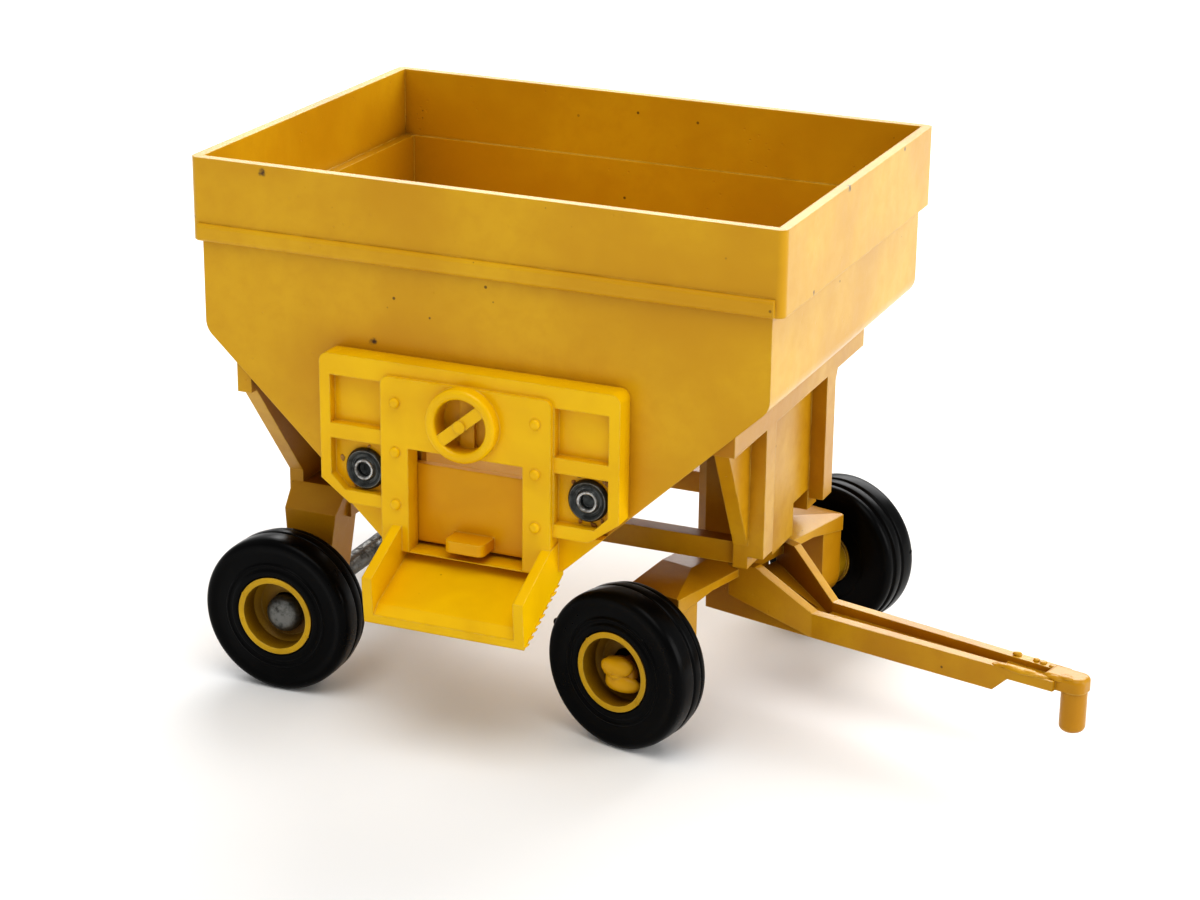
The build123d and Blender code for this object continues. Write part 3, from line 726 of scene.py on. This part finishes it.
CAMERA_PLACE = (0.09716, -0.24873, 0.12199)
CAMERA_LOOK = (-0.3374, 0.8778, -0.3399)
CAMERA_ROLL = radians(1.34)
SENSOR_WIDTH = 36.0
LENS = 86.8
SHIFT_X = -0.0777
SHIFT_Y = -0.0021
CLIP_START = 0.01
CLIP_END = 20.0
EXPOSURE = -0.32


def build_floor():
    deselect()
    bpy.ops.mesh.primitive_plane_add(size=FLOOR_SIZE)
    floor = bpy.context.object
    floor.name = "floor"
    floor.data.materials.append(paper("pale_floor"))


def softbox(name, place, width, height, power):
    """Rectangular light that faces the wagon."""
    data = bpy.data.lights.new(name, "AREA")
    data.shape = "RECTANGLE"
    data.size = width
    data.size_y = height
    data.energy = power
    light = bpy.data.objects.new(name, data)
    bpy.context.scene.collection.objects.link(light)
    light.location = place
    facing = Vector(LIGHT_TARGET) - Vector(place)
    light.rotation_euler = facing.to_track_quat("-Z", "Y").to_euler()


def build_lights():
    softbox("back", place=(-0.10, 0.75, 0.55), width=0.90, height=0.50, power=9.0)
    softbox("side", place=(0.75, 0.10, 0.30), width=0.45, height=0.45, power=3.0)
    softbox("top", place=(0.10, -0.25, 0.70), width=0.50, height=0.50, power=2.6)
    world = bpy.data.worlds.new("studio")
    bpy.context.scene.world = world
    world.use_nodes = True
    fix(world.node_tree.nodes["Background"], {"Color": rgb(1.0, 1.0, 1.0), "Strength": WORLD_STRENGTH})


def build_camera():
    """Long lens from the front right, a little above."""
    look = Vector(CAMERA_LOOK).normalized()
    level = look.cross(Vector((0, 0, 1))).normalized()
    rise = level.cross(look)
    right = level * cos(CAMERA_ROLL) + rise * sin(CAMERA_ROLL)
    up = right.cross(look)
    data = bpy.data.cameras.new("camera")
    data.sensor_width = SENSOR_WIDTH
    data.lens = LENS
    data.shift_x = SHIFT_X
    data.shift_y = SHIFT_Y
    data.clip_start = CLIP_START
    data.clip_end = CLIP_END
    camera = bpy.data.objects.new("camera", data)
    bpy.context.scene.collection.objects.link(camera)
    turn = Matrix((right, up, -look)).transposed().to_4x4()
    camera.matrix_world = Matrix.Translation(Vector(CAMERA_PLACE)) @ turn
    bpy.context.scene.camera = camera


# ---- the wagon ----

# Points and radii of the dark chips and the pale scrapes on the hopper.
HOPPER_CHIPS = (
    ((-35.5, -17.7, 53.2), 0.45), ((-43.2, -17.7, 48.1), 0.30), ((-24.2, -17.5, 38.1), 0.42),
    ((-18.3, -17.5, 41.2), 0.16), ((16.6, -0.3, 53.7), 0.45), ((16.6, -9.6, 46.1), 0.28),
    ((16.6, 16.7, 53.6), 0.35), ((-13.4, -18.2, 53.8), 0.22))
HOPPER_SCRAPES = (((-12.6, -17.5, 36.6), 0.40), ((-11.9, -17.5, 36.3), 0.25))

# How shut in a surface is where its painted shade begins, and where the painted shade is darkest.
OPEN_SHADE_RANGE = (0.28, 0.85)
CHASSIS_SHADE_RANGE = (0.46, 0.80)

OCHRE = rgb(0.66, 0.375, 0.008)
OCHRE_DEEP = rgb(0.56, 0.285, 0.004)
# Paler ochre of worn edges with a painted edge highlight.
OCHRE_EDGE_WEAR_AND_HIGHLIGHT = rgb(0.80, 0.54, 0.10)
CHASSIS_OCHRE = rgb(0.60, 0.33, 0.006)
CHASSIS_DEEP = rgb(0.44, 0.20, 0.002)
# Each plastic's deep colour tints its flow marks and also gives its painted shade in corners.
DOOR_YELLOW = rgb(0.84, 0.51, 0.001)
DOOR_DEEP_AND_SHADE = rgb(0.58, 0.26, 0.001)
GATE_YELLOW = rgb(0.76, 0.40, 0.001)
GATE_DEEP_AND_SHADE = rgb(0.52, 0.20, 0.001)
HUB_YELLOW = rgb(0.60, 0.36, 0.004)
HUB_DEEP_AND_SHADE = rgb(0.085, 0.030, 0.001)
STUB_YELLOW = rgb(0.68, 0.38, 0.004)
STUB_DEEP_AND_SHADE = rgb(0.42, 0.17, 0.001)
TORN_PAINT = rgb(0.62, 0.34, 0.06)
TORN_DEEP = rgb(0.30, 0.13, 0.02)
# Paler colour of the torn flakes' worn edges with a painted edge highlight.
TORN_EDGE_WEAR_AND_HIGHLIGHT = rgb(0.85, 0.62, 0.30)
AXLE_GREY = rgb(0.17, 0.17, 0.16)
AXLE_STAIN = rgb(0.05, 0.048, 0.042)
RIVET_GREY = rgb(0.075, 0.080, 0.078)
RIVET_STAIN = rgb(0.018, 0.020, 0.019)
RING_GREY = rgb(0.50, 0.50, 0.49)
RING_STAIN = rgb(0.07, 0.06, 0.045)

body_paint = enamel("body_enamel", OCHRE, OCHRE_DEEP, OCHRE_EDGE_WEAR_AND_HIGHLIGHT, OPEN_SHADE_RANGE,
                    HOPPER_CHIPS, HOPPER_SCRAPES)
chassis_paint = enamel("chassis_enamel", CHASSIS_OCHRE, CHASSIS_DEEP, OCHRE_EDGE_WEAR_AND_HIGHLIGHT, CHASSIS_SHADE_RANGE)
door_plastic = moulded("door_plastic", DOOR_YELLOW, DOOR_DEEP_AND_SHADE, gloss=0.18, reach=2.2, strength=0.6)
gate_plastic = moulded("gate_plastic", GATE_YELLOW, GATE_DEEP_AND_SHADE, gloss=0.24)
# The hub's dish is painted near-black brown: painted shade reaching 9 mm into it.
hub_plastic = moulded("hub_plastic", HUB_YELLOW, HUB_DEEP_AND_SHADE, gloss=0.28, reach=9.0, strength=0.95)
stub_paint = moulded("stub_paint", STUB_YELLOW, STUB_DEEP_AND_SHADE, gloss=0.28, reach=1.2, strength=0.6)
tyre_vinyl = vinyl("tyre_vinyl")
axle_steel = steel("axle_steel", AXLE_GREY, AXLE_STAIN, rough=0.36)
dark_steel = steel("dark_rivet_steel", RIVET_GREY, RIVET_STAIN, rough=0.34)
bright_steel = steel("bright_ring_steel", RING_GREY, RING_STAIN, rough=0.24)
torn_paint = enamel("torn_paint", TORN_PAINT, TORN_DEEP, TORN_EDGE_WEAR_AND_HIGHLIGHT, OPEN_SHADE_RANGE)

CAD_FINISHES = {
    "hopper_body": body_paint, "chassis_frame": chassis_paint, "front_truck": chassis_paint,
    "door_unit": door_plastic, "discharge_gate": gate_plastic, "rear_axle": axle_steel,
    "king_pin_rivet": dark_steel, "door_rivet_rear": dark_steel, "door_rivet_front": dark_steel,
    "body_rivet_rear": dark_steel, "body_rivet_front": dark_steel}
for node, obj in nodes.items():
    finish = CAD_FINISHES.get(node) or (hub_plastic if node.startswith("hub") else tyre_vinyl)
    obj.data.materials.clear()
    obj.data.materials.append(finish)

build_tyres(tyre_vinyl)
build_hub_flash(hub_plastic)
build_door_rivets(dark_steel, bright_steel, torn_paint)
build_peens(stub_paint)
build_tongue_lumps(chassis_paint)
build_cheek_flash(door_plastic)
build_floor()
build_lights()
build_camera()
bpy.context.scene.view_settings.view_transform = "Standard"
bpy.context.scene.view_settings.look = "Medium High Contrast"
bpy.context.scene.view_settings.exposure = EXPOSURE
